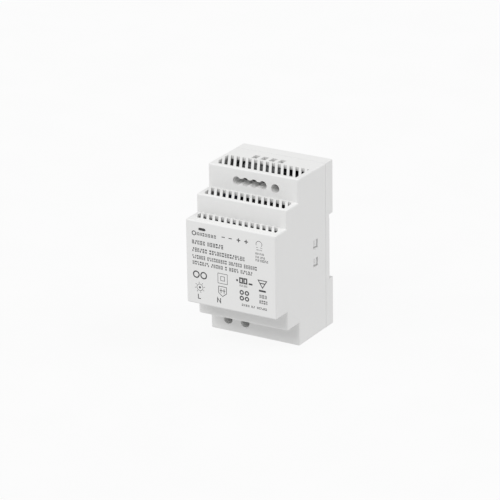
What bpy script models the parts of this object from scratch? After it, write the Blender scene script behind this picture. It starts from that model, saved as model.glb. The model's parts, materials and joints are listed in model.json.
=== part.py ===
"""DIN rail power supply: a stepped three-module housing that clips onto a 35 mm rail.

X is the width, Y the depth (front at -Y) and Z is up. The origin is the centre of the rail seat: the plane
Y = 0 lies on the front of the rail and Z = 0 is the rail's centre line. Sizes below are in millimetres.
"""

import math

import bmesh
import bpy
from mathutils import Matrix, Vector

MM = 0.001
GAP = 0.3  # clearance between neighbouring pieces

# Housing envelope
MODULE = 17.5
WIDTH = 3 * MODULE
HEIGHT = 90.0
MID_Z = 1.4  # mid-height of the housing above the rail's centre line
FOOT_Y = 4.0  # back plane of the feet
SEAM_Y = -4.0  # where the front housing meets the rear base
TERMINAL_Y = -31.5  # front faces of the three tiers
MIDDLE_Y = -43.3
FRONT_Y = -54.4
MIDDLE_HALF = 32.5  # half heights of the tiers
NOSE_HALF = 22.5
WALL = 2.0
SIDE_WALL = 2.2
EDGE_ROUND = 0.9

HALF_WIDTH = WIDTH / 2
HALF_HEIGHT = HEIGHT / 2
INNER_X = HALF_WIDTH - SIDE_WALL
INNER_HALF = HALF_HEIGHT - WALL

# Vent slots: (half height of the wall's outer face, near Y, far Y, X of the first slot at its near end)
VENT_PITCH = 3.44
VENT_WIDTH = 1.9
VENT_LEAN = math.tan(math.radians(29))
VENT_ROWS = (
    (HALF_HEIGHT, -29.2, -15.6, -20.6),
    (MIDDLE_HALF, -41.6, -32.3, -21.4),
    (NOSE_HALF, -50.0, -43.7, -20.9),
)
VENTS_PER_ROW = 16

# Rail and latch
RAIL_HALF = 17.5
RAIL_PLAY = 0.2
SEAT_HALF = 15.5  # the face that touches the rail; beyond it the base is relieved under the hooks
SEAT_RELIEF = 0.3
HOOK_Y = 1.35  # behind the rail's 1 mm flange
HOOK_BITE = 1.5
HOOK_WIDTH = 8.0
HOOK_X = 13.0
LATCH_HALF = 8.0
LATCH_FLANGE_HALF = 9.6
LATCH_FRONT_Y = 0.7
LATCH_FLANGE_Y = 1.9
LATCH_BACK_Y = 3.7
LATCH_TIP_Z = -15.9
PEG_HALF = 1.3
PEG_LOW_Z = -37.7
PEG_HIGH_Z = -35.7
LATCH_WINDOW_HALF = 1.7
LATCH_WINDOW_LOW_Z = PEG_LOW_Z - GAP
LATCH_WINDOW_HIGH_Z = -24.0

# Snap joint between housing and base
SNAP_Y = -14.45
SNAP_MID_Z = 1.35
SNAP_OFFSET = 4.95
SNAP_WINDOW = (4.6, 4.7)
ARM_THICK = 1.6
BARB_HALF_Y = 1.3
BARB_LIFT = 0.6  # more room below the barb than above it

# Circuit board
BOARD_BACK_Y = -4.8
BOARD_FRONT_Y = -6.4
BOARD_HALF_X = 21.8
BOARD_HALF_Z = 42.2
PART_Y = BOARD_FRONT_Y - GAP  # where components start
BOARD_SCREWS = ((-17.8, 39.0), (19.3, 39.0), (19.3, -37.0), (-19.3, -25.5))
FLOOR_Y = -1.8  # inside of the base's back wall
SCREW_SHANK = 1.0
BOSS_RADIUS = 2.4

# Terminals: heights are measured from mid-height, outwards
OUTPUT_X = tuple(-9.56 + 5.08 * i for i in range(4))
INPUT_X = (-16.0, -5.84)
SCREW_H = 38.35
ENTRY_Y = -12.0
BLOCK_FRONT_Y = -21.0
BLOCK_LOW_H = 31.6
BLOCK_HIGH_H = 42.5
CELL_HALF = 2.0
CELL_LOW_H = 33.6
CELL_HIGH_H = 41.5
CELL_FRONT_Y = -18.9
CELL_BACK_Y = -8.2
ACCESS_RADIUS = 2.25
INPUT_ACCESS_RADIUS = 2.6
ACCESS_DEPTH = 9.0
CHANNEL_HEIGHT = 2.8
ENTRY_HALF_Y = 2.2
OUTPUT_ENTRY_HALF = 1.5
INPUT_ENTRY_HALF = 2.4
SCREW_RADIUS = 1.05
HEAD_RADIUS = 1.9
HEAD_FRONT_Y = -20.7
HEAD_BACK_Y = -19.2
SCREW_TIP_Y = -13.7
CAGE_FRONT_Y = -16.2
CAGE_BACK_Y = -8.5
CAGE_HALF = 1.75
CAGE_WINDOW_HALF = 1.25
BAR_HALF = 0.85
BAR_Y = (-13.4, -12.6)
TRIMMER = (12.9, 37.9 + MID_Z)
TRIMMER_RADIUS = 2.35
TRIMMER_TOP_Y = -15.4
TRIMMER_FRONT_Y = -17.2

LED_SLOT = (-16.6, 18.3 + MID_Z)
LED_SLOT_SIZE = (4.3, 1.5)
LED_TIP_PLAY = 0.15  # the light pipe's clearance in its slot, and how far its tip lies below the face

# Transformer and power packages
BOBBIN_WALL = 1.2
BOBBIN_ALONG = 9.0
PACKAGE_HOLE_Y = -19.2
PACKAGE_HOLE = 1.7
LEAD_PITCH = 2.54

ROUND = 24  # segments of a round shape

PARTS = None
HELPERS = None


# ---------------------------------------------------------------- scene and materials

def start_scene():
    global PARTS, HELPERS
    for obj in list(bpy.data.objects):
        bpy.data.objects.remove(obj, do_unlink=True)
    PARTS = bpy.data.collections.new("din_rail_power_supply")
    HELPERS = bpy.data.collections.new("cutters")
    HELPERS.hide_render = True
    for collection in (PARTS, HELPERS):
        bpy.context.scene.collection.children.link(collection)


def material(name, color, roughness, metallic=0.0):
    found = bpy.data.materials.get(name)
    if found:
        return found
    made = bpy.data.materials.new(name)
    made.use_nodes = True
    shader = made.node_tree.nodes["Principled BSDF"]
    shader.inputs["Base Color"].default_value = (*color, 1.0)
    shader.inputs["Roughness"].default_value = roughness
    shader.inputs["Metallic"].default_value = metallic
    return made


def housing_plastic():
    return material("housing_plastic", (0.80, 0.80, 0.79), 0.5)


def base_plastic():
    return material("base_plastic", (0.77, 0.77, 0.76), 0.5)


def latch_plastic():
    return material("latch_plastic", (0.06, 0.06, 0.065), 0.45)


def terminal_plastic():
    return material("terminal_plastic", (0.105, 0.11, 0.115), 0.5)


def dark_plastic():
    return material("dark_plastic", (0.025, 0.025, 0.03), 0.4)


def trimmer_plastic():
    return material("trimmer_plastic", (0.03, 0.032, 0.035), 0.4)


def rotor_plastic():
    return material("rotor_plastic", (0.75, 0.74, 0.70), 0.4)


def clear_plastic():
    return material("clear_plastic", (0.03, 0.032, 0.034), 0.15)


def board_laminate():
    return material("board_laminate", (0.05, 0.22, 0.10), 0.45)


def steel():
    return material("steel", (0.62, 0.62, 0.63), 0.3, 1.0)


def brass():
    return material("brass", (0.70, 0.55, 0.28), 0.3, 1.0)


def aluminium():
    return material("aluminium", (0.03, 0.03, 0.033), 0.45, 0.3)


def ferrite():
    return material("ferrite", (0.07, 0.07, 0.075), 0.6)


def copper():
    return material("copper", (0.62, 0.26, 0.12), 0.3, 1.0)


def winding_tape():
    return material("winding_tape", (0.75, 0.55, 0.08), 0.4)


def capacitor_sleeve():
    return material("capacitor_sleeve", (0.04, 0.05, 0.09), 0.35)


def film_box():
    return material("film_box", (0.62, 0.46, 0.09), 0.45)


def ceramic_blue():
    return material("ceramic_blue", (0.06, 0.16, 0.42), 0.5)


def thermistor_green():
    return material("thermistor_green", (0.06, 0.20, 0.10), 0.5)


# ---------------------------------------------------------------- shapes

def mesh_object(name, bm, place=(0, 0, 0), collection=None):
    """An object with its origin at place; the bmesh holds world coordinates in millimetres."""
    bmesh.ops.translate(bm, verts=bm.verts, vec=-Vector(place))
    bmesh.ops.scale(bm, verts=bm.verts, vec=(MM, MM, MM))
    mesh = bpy.data.meshes.new(name)
    bm.to_mesh(mesh)
    bm.free()
    obj = bpy.data.objects.new(name, mesh)
    obj.location = Vector(place) * MM
    (collection or HELPERS).objects.link(obj)
    return obj


def box(low, high, round_by=0.0):
    bm = bmesh.new()
    bmesh.ops.create_cube(bm, size=1)
    low, high = Vector(low), Vector(high)
    bmesh.ops.scale(bm, verts=bm.verts, vec=high - low)
    bmesh.ops.translate(bm, verts=bm.verts, vec=(low + high) / 2)
    if round_by:
        bmesh.ops.bevel(bm, geom=bm.edges[:], offset=round_by, segments=2, profile=0.5, affect="EDGES")
    return bm


def rod(start, end, radius, end_radius=None, segments=ROUND):
    """A round bar from start to end, which may taper."""
    bm = bmesh.new()
    start, end = Vector(start), Vector(end)
    bmesh.ops.create_cone(bm, cap_ends=True, segments=segments, radius1=radius,
                          radius2=radius if end_radius is None else end_radius, depth=(end - start).length)
    turn = Vector((0, 0, 1)).rotation_difference(end - start).to_matrix().to_4x4()
    bmesh.ops.transform(bm, verts=bm.verts, matrix=Matrix.Translation((start + end) / 2) @ turn)
    return bm


PLANES = {
    "XY": Matrix.Identity(4),
    "XZ": Matrix.Rotation(math.pi / 2, 4, "X"),
    "YZ": Matrix.Rotation(math.pi / 2, 4, "Z") @ Matrix.Rotation(math.pi / 2, 4, "X"),
}
NORMALS = {"XY": Vector((0, 0, 1)), "XZ": Vector((0, 1, 0)), "YZ": Vector((1, 0, 0))}


def slab(outlines, plane, low, high):
    """Closed outlines in a plane, made solid from low to high along its normal."""
    curve = bpy.data.curves.new("outline", "CURVE")
    curve.dimensions = "2D"
    curve.fill_mode = "BOTH"
    curve.extrude = (high - low) / 2
    for outline in outlines:
        spline = curve.splines.new("POLY")
        spline.points.add(len(outline) - 1)
        for point, (x, y) in zip(spline.points, outline):
            point.co = (x, y, 0, 1)
        spline.use_cyclic_u = True
    guide = bpy.data.objects.new("outline", curve)
    HELPERS.objects.link(guide)
    bpy.context.view_layer.update()
    graph = bpy.context.evaluated_depsgraph_get()
    mesh = bpy.data.meshes.new_from_object(guide.evaluated_get(graph))
    bpy.data.objects.remove(guide)
    bm = bmesh.new()
    bm.from_mesh(mesh)
    bpy.data.meshes.remove(mesh)
    bmesh.ops.remove_doubles(bm, verts=bm.verts, dist=0.001)
    bmesh.ops.dissolve_limit(bm, angle_limit=math.radians(1), verts=bm.verts, edges=bm.edges)
    bmesh.ops.transform(bm, verts=bm.verts, matrix=PLANES[plane])
    bmesh.ops.translate(bm, verts=bm.verts, vec=NORMALS[plane] * (low + high) / 2)
    bmesh.ops.recalc_face_normals(bm, faces=bm.faces)
    return bm


def turned(name, profile, start, direction, segments=ROUND):
    """A turned piece: profile holds (radius, distance from start) down its outer side, end to end."""
    mesh = bpy.data.meshes.new(name)
    points = [(radius * MM, 0, along * MM) for radius, along in profile]
    mesh.from_pydata(points, [(i, i + 1) for i in range(len(points) - 1)], [])
    obj = bpy.data.objects.new(name, mesh)
    obj.location = Vector(start) * MM
    obj.rotation_euler = Vector((0, 0, 1)).rotation_difference(Vector(direction)).to_euler()
    PARTS.objects.link(obj)
    screw = obj.modifiers.new("turn", "SCREW")
    screw.steps = screw.render_steps = segments
    screw.use_merge_vertices = True
    screw.merge_threshold = 0.00001
    return obj


def combine(obj, operation, shapes, label):
    """Cuts the shapes from an object, or joins them to it."""
    group = bpy.data.collections.new(f"{obj.name}_{label}")
    HELPERS.children.link(group)
    for number, bm in enumerate(shapes):
        helper = mesh_object(f"{obj.name}_{label}_{number}", bm, collection=group)
        helper.hide_render = True
        helper.display_type = "WIRE"
    modifier = obj.modifiers.new(label, "BOOLEAN")
    modifier.operation = operation
    modifier.operand_type = "COLLECTION"
    modifier.collection = group
    modifier.solver = "EXACT"


def part(name, bm, finish, place=None, cuts=(), adds=(), holes=()):
    """A named piece: the first shape, less its cuts, plus what is added, less its holes."""
    if place is None:
        spots = [v.co for v in bm.verts]
        place = sum(spots, Vector()) / len(spots)
    obj = mesh_object(name, bm, place, PARTS)
    dress(obj, finish, cuts, adds, holes)
    return obj


def dress(obj, finish, cuts=(), adds=(), holes=()):
    for operation, shapes, label in (("DIFFERENCE", cuts, "cut"), ("UNION", adds, "add"),
                                     ("DIFFERENCE", holes, "hole")):
        if shapes:
            combine(obj, operation, shapes, label)
    obj.data.materials.append(finish)
    obj.data.shade_smooth()
    obj.data.set_sharp_from_angle(angle=math.radians(35))


def ride_on(obj, parent):
    """Parents a piece without moving it."""
    bpy.context.view_layer.update()
    obj.parent = parent
    obj.matrix_parent_inverse = parent.matrix_world.inverted()


# ---------------------------------------------------------------- housing

def stepped_outline(inset, back_y):
    """The housing's side outline in Y and Z, drawn in by a wall's thickness."""
    steps = ((TERMINAL_Y, HALF_HEIGHT), (MIDDLE_Y, MIDDLE_HALF), (FRONT_Y, NOSE_HALF))
    upper = [(back_y, HALF_HEIGHT - inset)]
    for index, (front, half) in enumerate(steps):
        upper.append((front + inset, half - inset))
        if index + 1 < len(steps):
            upper.append((front + inset, steps[index + 1][1] - inset))
    lower = [(y, -h) for y, h in reversed(upper)]
    return [(y, MID_Z + h) for y, h in upper + lower]


def outer_shell():
    bm = slab([stepped_outline(0, SEAM_Y)], "YZ", -HALF_WIDTH, HALF_WIDTH)
    bm.edges.ensure_lookup_table()
    outer = [e for e in bm.edges if e.is_convex and min(v.co.y for v in e.verts) < SEAM_Y - 0.01]
    bmesh.ops.bevel(bm, geom=outer, offset=EDGE_ROUND, segments=3, profile=0.5, affect="EDGES")
    return bm


def clipped(outline, x_limit, side):
    """The part of an outline with side * x below x_limit."""
    kept = []
    for (ax, ay), (bx, by) in zip(outline, outline[1:] + outline[:1]):
        a_in, b_in = side * ax <= x_limit, side * bx <= x_limit
        if a_in:
            kept.append((ax, ay))
        if a_in != b_in:
            share = (side * x_limit - ax) / (bx - ax)
            kept.append((side * x_limit, ay + share * (by - ay)))
    return kept


def vent_outlines(near_y, far_y, first_x):
    shift = (far_y - near_y) * VENT_LEAN
    found = []
    for index in range(VENTS_PER_ROW):
        x = first_x + index * VENT_PITCH
        left, right = x - VENT_WIDTH / 2, x + VENT_WIDTH / 2
        outline = [(left, near_y), (right, near_y), (right - shift, far_y), (left - shift, far_y)]
        for side in (-1, 1):
            outline = clipped(outline, INNER_X - GAP, side) if outline else outline
        width = max((p[0] for p in outline), default=0) - min((p[0] for p in outline), default=0)
        if width > VENT_WIDTH / 2:
            found.append(outline)
    return found


def vent_cutters():
    cutters = []
    for half, near_y, far_y, first_x in VENT_ROWS:
        for side in (-1, 1):
            levels = sorted((MID_Z + side * (half - 1.5 * WALL), MID_Z + side * (half + WALL)))
            cutters.append(slab(vent_outlines(near_y, far_y, first_x), "XY", *levels))
    return cutters


def guide_tubes():
    """Tubes that lead a screwdriver from the terminal tiers to the screws and the trimmer."""
    front, back = TERMINAL_Y + WALL / 2, TERMINAL_Y + ACCESS_DEPTH
    rim = ACCESS_RADIUS + 1.2
    upper, lower = MID_Z + SCREW_H, MID_Z - SCREW_H
    tubes = [box((OUTPUT_X[0] - rim, front, upper - rim), (OUTPUT_X[-1] + rim, back, upper + rim), 0.6)]
    tubes.append(rod((TRIMMER[0], front, TRIMMER[1]), (TRIMMER[0], back, TRIMMER[1]), TRIMMER_RADIUS + 1.2))
    tubes += [rod((x, front, lower), (x, back, lower), INPUT_ACCESS_RADIUS + 1.2) for x in INPUT_X]
    return tubes


def access_holes():
    front, back = TERMINAL_Y - 1, TERMINAL_Y + ACCESS_DEPTH + 1
    upper, lower = MID_Z + SCREW_H, MID_Z - SCREW_H
    holes = [rod((x, front, upper), (x, back, upper), ACCESS_RADIUS) for x in OUTPUT_X]
    holes += [rod((x, front, lower), (x, back, lower), INPUT_ACCESS_RADIUS) for x in INPUT_X]
    holes.append(rod((TRIMMER[0], front, TRIMMER[1]), (TRIMMER[0], back, TRIMMER[1]), TRIMMER_RADIUS))
    half = CHANNEL_HEIGHT / 2
    holes.append(box((OUTPUT_X[0], front, upper - half), (OUTPUT_X[-1], back, upper + half)))
    return holes


def wire_entries():
    entries = []
    for side, places, half in ((1, OUTPUT_X, OUTPUT_ENTRY_HALF), (-1, INPUT_X, INPUT_ENTRY_HALF)):
        low, high = sorted((MID_Z + side * (INNER_HALF - 1), MID_Z + side * (HALF_HEIGHT + 1)))
        entries += [box((x - half, ENTRY_Y - ENTRY_HALF_Y, low), (x + half, ENTRY_Y + ENTRY_HALF_Y, high))
                    for x in places]
    return entries


def stadium(x, z, length, height, segments=6):
    """A slot outline with round ends, in X and Z."""
    radius = height / 2
    outline = []
    for side in (1, -1):
        centre = x + side * (length / 2 - radius)
        for step in range(segments + 1):
            angle = math.pi / 2 - math.pi * step / segments + (0 if side > 0 else math.pi)
            outline.append((centre + radius * math.cos(angle), z + radius * math.sin(angle)))
    return outline


def led_slot():
    # The XZ plane's outline is drawn with its normal along Y.
    return slab([stadium(*LED_SLOT, *LED_SLOT_SIZE)], "XZ", FRONT_Y - 1, FRONT_Y + WALL + 1)


def snap_levels():
    return [SNAP_MID_Z + side * SNAP_OFFSET for side in (-1, 1)]


def snap_windows():
    half_y, half_z = SNAP_WINDOW[0] / 2, SNAP_WINDOW[1] / 2
    return [box((side * HALF_WIDTH - 3, SNAP_Y - half_y, z - half_z),
                (side * HALF_WIDTH + 3, SNAP_Y + half_y, z + half_z))
            for side in (-1, 1) for z in snap_levels()]


def front_housing():
    inner = slab([stepped_outline(WALL, SEAM_Y + 1)], "YZ", -INNER_X, INNER_X)
    openings = vent_cutters() + access_holes() + wire_entries() + snap_windows() + [led_slot()]
    part("front_housing", outer_shell(), housing_plastic(), (0, FRONT_Y, MID_Z),
         cuts=[inner], adds=guide_tubes(), holes=openings)


# ---------------------------------------------------------------- rear base and rail latch

def base_block():
    bm = box((-HALF_WIDTH, SEAM_Y + GAP, MID_Z - HALF_HEIGHT), (HALF_WIDTH, FOOT_Y, MID_Z + HALF_HEIGHT))
    outer = [e for e in bm.edges if max(v.co.y for v in e.verts) > SEAM_Y + 1]
    bmesh.ops.bevel(bm, geom=outer, offset=0.7, segments=2, profile=0.5, affect="EDGES")
    return bm


def base_pockets():
    top, bottom = MID_Z + INNER_HALF, MID_Z - INNER_HALF
    edge = RAIL_HALF + RAIL_PLAY
    rib = edge + WALL
    side = LATCH_FLANGE_HALF + GAP + WALL + 0.4
    back = FOOT_Y - WALL
    return [
        box((-HALF_WIDTH - 1, 0, -SEAT_HALF - 1), (HALF_WIDTH + 1, FOOT_Y + 1, SEAT_HALF + 1)),
        box((-HALF_WIDTH - 1, -SEAT_RELIEF, SEAT_HALF), (HALF_WIDTH + 1, FOOT_Y + 1, edge)),
        box((-HALF_WIDTH - 1, -SEAT_RELIEF, -edge), (HALF_WIDTH + 1, FOOT_Y + 1, -SEAT_HALF)),
        box((-INNER_X, SEAM_Y - 1, bottom), (INNER_X, FLOOR_Y, top)),
        box((-INNER_X, FLOOR_Y - 1, rib), (INNER_X, back, top)),
        box((-INNER_X, FLOOR_Y - 1, bottom), (-side, back, -rib)),
        box((side, FLOOR_Y - 1, bottom), (INNER_X, back, -rib)),
        box((-LATCH_FLANGE_HALF - GAP, LATCH_FRONT_Y - GAP, -HEIGHT),
            (LATCH_FLANGE_HALF + GAP, LATCH_FLANGE_Y + GAP, -RAIL_HALF)),
        box((-LATCH_HALF - GAP, LATCH_FLANGE_Y, -HEIGHT), (LATCH_HALF + GAP, FOOT_Y + 1, -RAIL_HALF)),
    ]


def base_details():
    """Fixed hooks, snap arms with barbs, board bosses and the peg that holds the spring."""
    edge = RAIL_HALF + RAIL_PLAY
    shapes = [box((side * HOOK_X - HOOK_WIDTH / 2, HOOK_Y, RAIL_HALF - HOOK_BITE),
                  (side * HOOK_X + HOOK_WIDTH / 2, FOOT_Y - 0.2, edge + 1)) for side in (-1, 1)]
    arm_outer = INNER_X - GAP
    half_y, half_z = SNAP_WINDOW[0] / 2 - GAP, SNAP_WINDOW[1] / 2 - GAP
    for side in (-1, 1):
        for z in snap_levels():
            xs = sorted((side * (arm_outer - ARM_THICK), side * arm_outer))
            shapes.append(box((xs[0], SNAP_Y - half_y, z - half_z), (xs[1], FLOOR_Y + 1, z + half_z)))
            shapes.append(snap_barb(side, arm_outer - 0.5, z - half_z + BARB_LIFT, z + half_z))
    for x, z in BOARD_SCREWS:
        shapes.append(rod((x, FOOT_Y - WALL / 2, z), (x, BOARD_BACK_Y + GAP, z), BOSS_RADIUS))
    shapes.append(box((-PEG_HALF, LATCH_FRONT_Y - GAP - 0.5, PEG_LOW_Z),
                      (PEG_HALF, LATCH_BACK_Y - GAP, PEG_HIGH_Z)))
    return shapes


def snap_barb(side, inner, low_z, high_z):
    """A wedge that rises towards the back and catches in the housing's window."""
    low, high = SNAP_Y - BARB_HALF_Y, SNAP_Y + BARB_HALF_Y
    outer = HALF_WIDTH - 0.35
    outline = [(side * inner, low), (side * (outer - 0.9), low), (side * outer, SNAP_Y),
               (side * outer, high), (side * inner, high)]
    return slab([outline], "XY", low_z, high_z)


def rear_base():
    pilot = [rod((x, FLOOR_Y - 0.2, z), (x, BOARD_BACK_Y - 1, z), SCREW_SHANK + GAP, segments=16)
             for x, z in BOARD_SCREWS]
    return part("rear_base", base_block(), base_plastic(), (0, 0, 0),
                cuts=base_pockets(), adds=base_details(), holes=pilot)


def din_latch(base):
    low = MID_Z - HALF_HEIGHT + GAP
    shoulder = -RAIL_HALF - 2 * RAIL_PLAY
    outline = [(LATCH_FRONT_Y, low), (LATCH_BACK_Y, low), (LATCH_BACK_Y, shoulder + 0.6),
               (HOOK_Y + 0.6, LATCH_TIP_Z), (HOOK_Y, LATCH_TIP_Z), (HOOK_Y, shoulder),
               (LATCH_FRONT_Y, shoulder)]
    flange = box((-LATCH_FLANGE_HALF, LATCH_FRONT_Y, low),
                 (LATCH_FLANGE_HALF, LATCH_FLANGE_Y, shoulder - 0.6))
    window = box((-LATCH_WINDOW_HALF, 0, LATCH_WINDOW_LOW_Z),
                 (LATCH_WINDOW_HALF, FOOT_Y + 1, LATCH_WINDOW_HIGH_Z))
    pull_slot = box((-3.0, 0, low + 1.6), (3.0, FOOT_Y + 1, low + 3.4))
    latch = part("din_latch", slab([outline], "YZ", -LATCH_HALF, LATCH_HALF), latch_plastic(),
                 (0, LATCH_BACK_Y, LATCH_TIP_Z), adds=[flange], holes=[window, pull_slot])
    ride_on(latch, base)


def latch_spring(base):
    """A compression coil between the base's peg and the top of the latch's window."""
    wire, radius, turns, per_turn = 0.2, 1.05, 8, 10
    low, high = PEG_HIGH_Z + GAP + wire, LATCH_WINDOW_HIGH_Z - GAP - wire
    curve = bpy.data.curves.new("latch_spring", "CURVE")
    curve.dimensions = "3D"
    curve.bevel_depth = wire * MM
    curve.bevel_resolution = 2
    curve.use_fill_caps = True
    spline = curve.splines.new("POLY")
    steps = turns * per_turn
    spline.points.add(steps)
    for index, point in enumerate(spline.points):
        angle = 2 * math.pi * index / per_turn
        spot = Vector((radius * math.cos(angle), radius * math.sin(angle), (high - low) * index / steps))
        point.co = (*(spot * MM), 1)
    spring = bpy.data.objects.new("latch_spring", curve)
    spring.location = Vector((0, (LATCH_FRONT_Y + LATCH_BACK_Y) / 2, low)) * MM
    curve.materials.append(steel())
    PARTS.objects.link(spring)
    ride_on(spring, base)


# ---------------------------------------------------------------- board and its screws

def main_circuit_board():
    holes = [rod((x, BOARD_FRONT_Y - 1, z), (x, BOARD_BACK_Y + 1, z), SCREW_SHANK + 2 * GAP, segments=16)
             for x, z in BOARD_SCREWS]
    for side, places in ((1, OUTPUT_X), (-1, INPUT_X)):
        holes += [contact_hole(x, side, BOARD_FRONT_Y - 1, BOARD_BACK_Y + 1) for x in places]
    body = box((-BOARD_HALF_X, BOARD_FRONT_Y, MID_Z - BOARD_HALF_Z),
               (BOARD_HALF_X, BOARD_BACK_Y, MID_Z + BOARD_HALF_Z))
    return part("main_circuit_board", body, board_laminate(), holes=holes)


def board_screws(board):
    head = 1.5
    length = -BOARD_FRONT_Y + FLOOR_Y - 0.3
    profile = [(0, head), (1.7, head), (2.2, head * 0.5), (2.2, 0), (SCREW_SHANK, 0),
               (SCREW_SHANK, -length + 0.6), (SCREW_SHANK * 0.5, -length), (0, -length)]
    for number, (x, z) in enumerate(BOARD_SCREWS, 1):
        screw = turned(f"board_screw_{number}", profile, (x, BOARD_FRONT_Y - GAP, z), (0, -1, 0), 16)
        front = BOARD_FRONT_Y - GAP - head
        cross = [box((x - a, front - 1, z - b), (x + a, front + 0.7, z + b))
                 for a, b in ((1.2, 0.25), (0.25, 1.2))]
        dress(screw, steel(), holes=cross)
        ride_on(screw, board)


# ---------------------------------------------------------------- terminals

def outward(side, h_low, h_high):
    """Two heights measured outwards from mid-height, as sorted Z values."""
    return sorted((MID_Z + side * h_low, MID_Z + side * h_high))


def contact_hole(x, side, front, back):
    low, high = outward(side, CELL_LOW_H - 0.1, CELL_LOW_H + 1.5)
    return box((x - 1.2, front, low), (x + 1.2, back, high))


def terminal_block(name, side, places, margin, board):
    low, high = outward(side, BLOCK_LOW_H, BLOCK_HIGH_H)
    body = box((places[0] - margin, BLOCK_FRONT_Y, low), (places[-1] + margin, PART_Y, high))
    holes = []
    for x in places:
        cell_low, cell_high = outward(side, CELL_LOW_H, CELL_HIGH_H)
        holes.append(box((x - CELL_HALF, CELL_FRONT_Y, cell_low), (x + CELL_HALF, CELL_BACK_Y, cell_high)))
        z = MID_Z + side * SCREW_H
        holes.append(rod((x, BLOCK_FRONT_Y - 1, z), (x, CELL_FRONT_Y + 1, z), 2.2))
        mouth_low, mouth_high = outward(side, CELL_HIGH_H - 1, BLOCK_HIGH_H + 1)
        holes.append(box((x - 1.75, ENTRY_Y - 1.9, mouth_low), (x + 1.75, ENTRY_Y + 1.9, mouth_high)))
        holes.append(contact_hole(x, side, CELL_BACK_Y - 1, PART_Y + 1))
    block = part(name, body, terminal_plastic(), holes=holes)
    ride_on(block, board)
    return block


def terminal_screw(name, x, side, block):
    """Slotted head in front, shank through the clamp down to the contact bar."""
    z = MID_Z + side * SCREW_H
    profile = [(0, HEAD_FRONT_Y), (HEAD_RADIUS - 0.35, HEAD_FRONT_Y), (HEAD_RADIUS, HEAD_FRONT_Y + 0.3),
               (HEAD_RADIUS, HEAD_BACK_Y), (SCREW_RADIUS, HEAD_BACK_Y), (SCREW_RADIUS, SCREW_TIP_Y - 0.4),
               (SCREW_RADIUS - 0.4, SCREW_TIP_Y), (0, SCREW_TIP_Y)]
    profile = [(radius, HEAD_BACK_Y - y) for radius, y in profile]
    screw = turned(name, profile, (x, HEAD_BACK_Y, z), (0, -1, 0), 20)
    slot = box((x - 3, HEAD_FRONT_Y - 1, z - 0.35), (x + 3, HEAD_FRONT_Y + 0.8, z + 0.35))
    dress(screw, steel(), holes=[slot])
    ride_on(screw, block)


def terminal_clamp(name, x, side, block):
    """A cage round the contact bar: its front web is threaded on the screw, its back web lifts the wire."""
    z = MID_Z + side * SCREW_H
    low, high = outward(side, SCREW_H - 2.2, SCREW_H + 2.4)
    body = box((x - CAGE_HALF, CAGE_FRONT_Y, low), (x + CAGE_HALF, CAGE_BACK_Y, high))
    window = box((x - CAGE_WINDOW_HALF, CAGE_FRONT_Y + 1.5, low - 1),
                 (x + CAGE_WINDOW_HALF, CAGE_BACK_Y - 1, high + 1))
    thread = rod((x, CAGE_FRONT_Y - 1, z), (x, CAGE_FRONT_Y + 2, z), SCREW_RADIUS + 0.25, segments=16)
    clamp = part(name, body, steel(), (x, CAGE_FRONT_Y, z), holes=[window, thread])
    ride_on(clamp, block)


def terminal_contact(name, x, side, block):
    """Fixed current bar inside the cage, with a leg through the board."""
    low, high = outward(side, CELL_LOW_H + 0.3, SCREW_H + 2.7)
    bar = box((x - BAR_HALF, BAR_Y[0], low), (x + BAR_HALF, BAR_Y[1], high))
    leg_low, leg_high = outward(side, CELL_LOW_H + 0.3, CELL_LOW_H + 1.1)
    leg = box((x - BAR_HALF, BAR_Y[0] + 0.4, leg_low), (x + BAR_HALF, BOARD_BACK_Y + 1.4, leg_high))
    ride_on(part(name, bar, brass(), adds=[leg]), block)


def terminals(board):
    for label, side, places, margin in (("output", 1, OUTPUT_X, 3.0), ("input", -1, INPUT_X, 4.2)):
        block = terminal_block(f"{label}_terminal_block", side, places, margin, board)
        for number, x in enumerate(places, 1):
            terminal_screw(f"{label}_screw_{number}", x, side, block)
            terminal_clamp(f"{label}_clamp_{number}", x, side, block)
            terminal_contact(f"{label}_contact_{number}", x, side, block)


# ---------------------------------------------------------------- trimmer and indicator

def trimmer(board):
    x, z = TRIMMER
    half = 3.4
    well = rod((x, TRIMMER_TOP_Y - 2, z), (x, TRIMMER_TOP_Y + GAP, z), 2.5)
    shell = box((x - half, TRIMMER_TOP_Y - 1, z - half), (x + half, PART_Y, z + half), 0.3)
    body = part("trimmer_body", shell, trimmer_plastic(), holes=[well])
    ride_on(body, board)
    front, slot_floor = TRIMMER_FRONT_Y - 1, TRIMMER_FRONT_Y + 0.9
    slots = [box((x - 1.7, front, z - 0.35), (x + 1.7, slot_floor, z + 0.35)),
             box((x - 0.35, front, z), (x + 0.35, slot_floor, z + 1.7))]
    rotor = part("trimmer_rotor", rod((x, TRIMMER_FRONT_Y, z), (x, TRIMMER_TOP_Y, z), 2.1),
                 rotor_plastic(), (x, TRIMMER_TOP_Y, z), holes=slots)
    ride_on(rotor, body)


def indicator(board):
    """A small upright board carries the lamp; a clear pipe leads its light to the slot in the front."""
    x, z = LED_SLOT
    lamp_y, lamp_depth, inner = -29.0, 1.6, FRONT_Y + WALL + GAP
    riser = part("led_riser_board", box((x - 4, lamp_y, z - 0.5), (x + 4, PART_Y, z + 0.5)),
                 board_laminate())
    led = part("status_led", box((x - 1.6, lamp_y - lamp_depth, z - 0.8),
                                 (x + 1.6, lamp_y - GAP, z + 0.8), 0.2), rotor_plastic())
    tip_outline = stadium(x, z, *(size - 2 * LED_TIP_PLAY for size in LED_SLOT_SIZE))
    tip = slab([tip_outline], "XZ", FRONT_Y + LED_TIP_PLAY, inner + 1)
    pipe = part("led_light_pipe", box((x - 2.4, inner, z - 1.0),
                                      (x + 2.4, lamp_y - lamp_depth - GAP, z + 1.0)),
                clear_plastic(), adds=[tip])
    for piece in (riser, led, pipe):
        ride_on(piece, board)


# ---------------------------------------------------------------- power components

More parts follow.
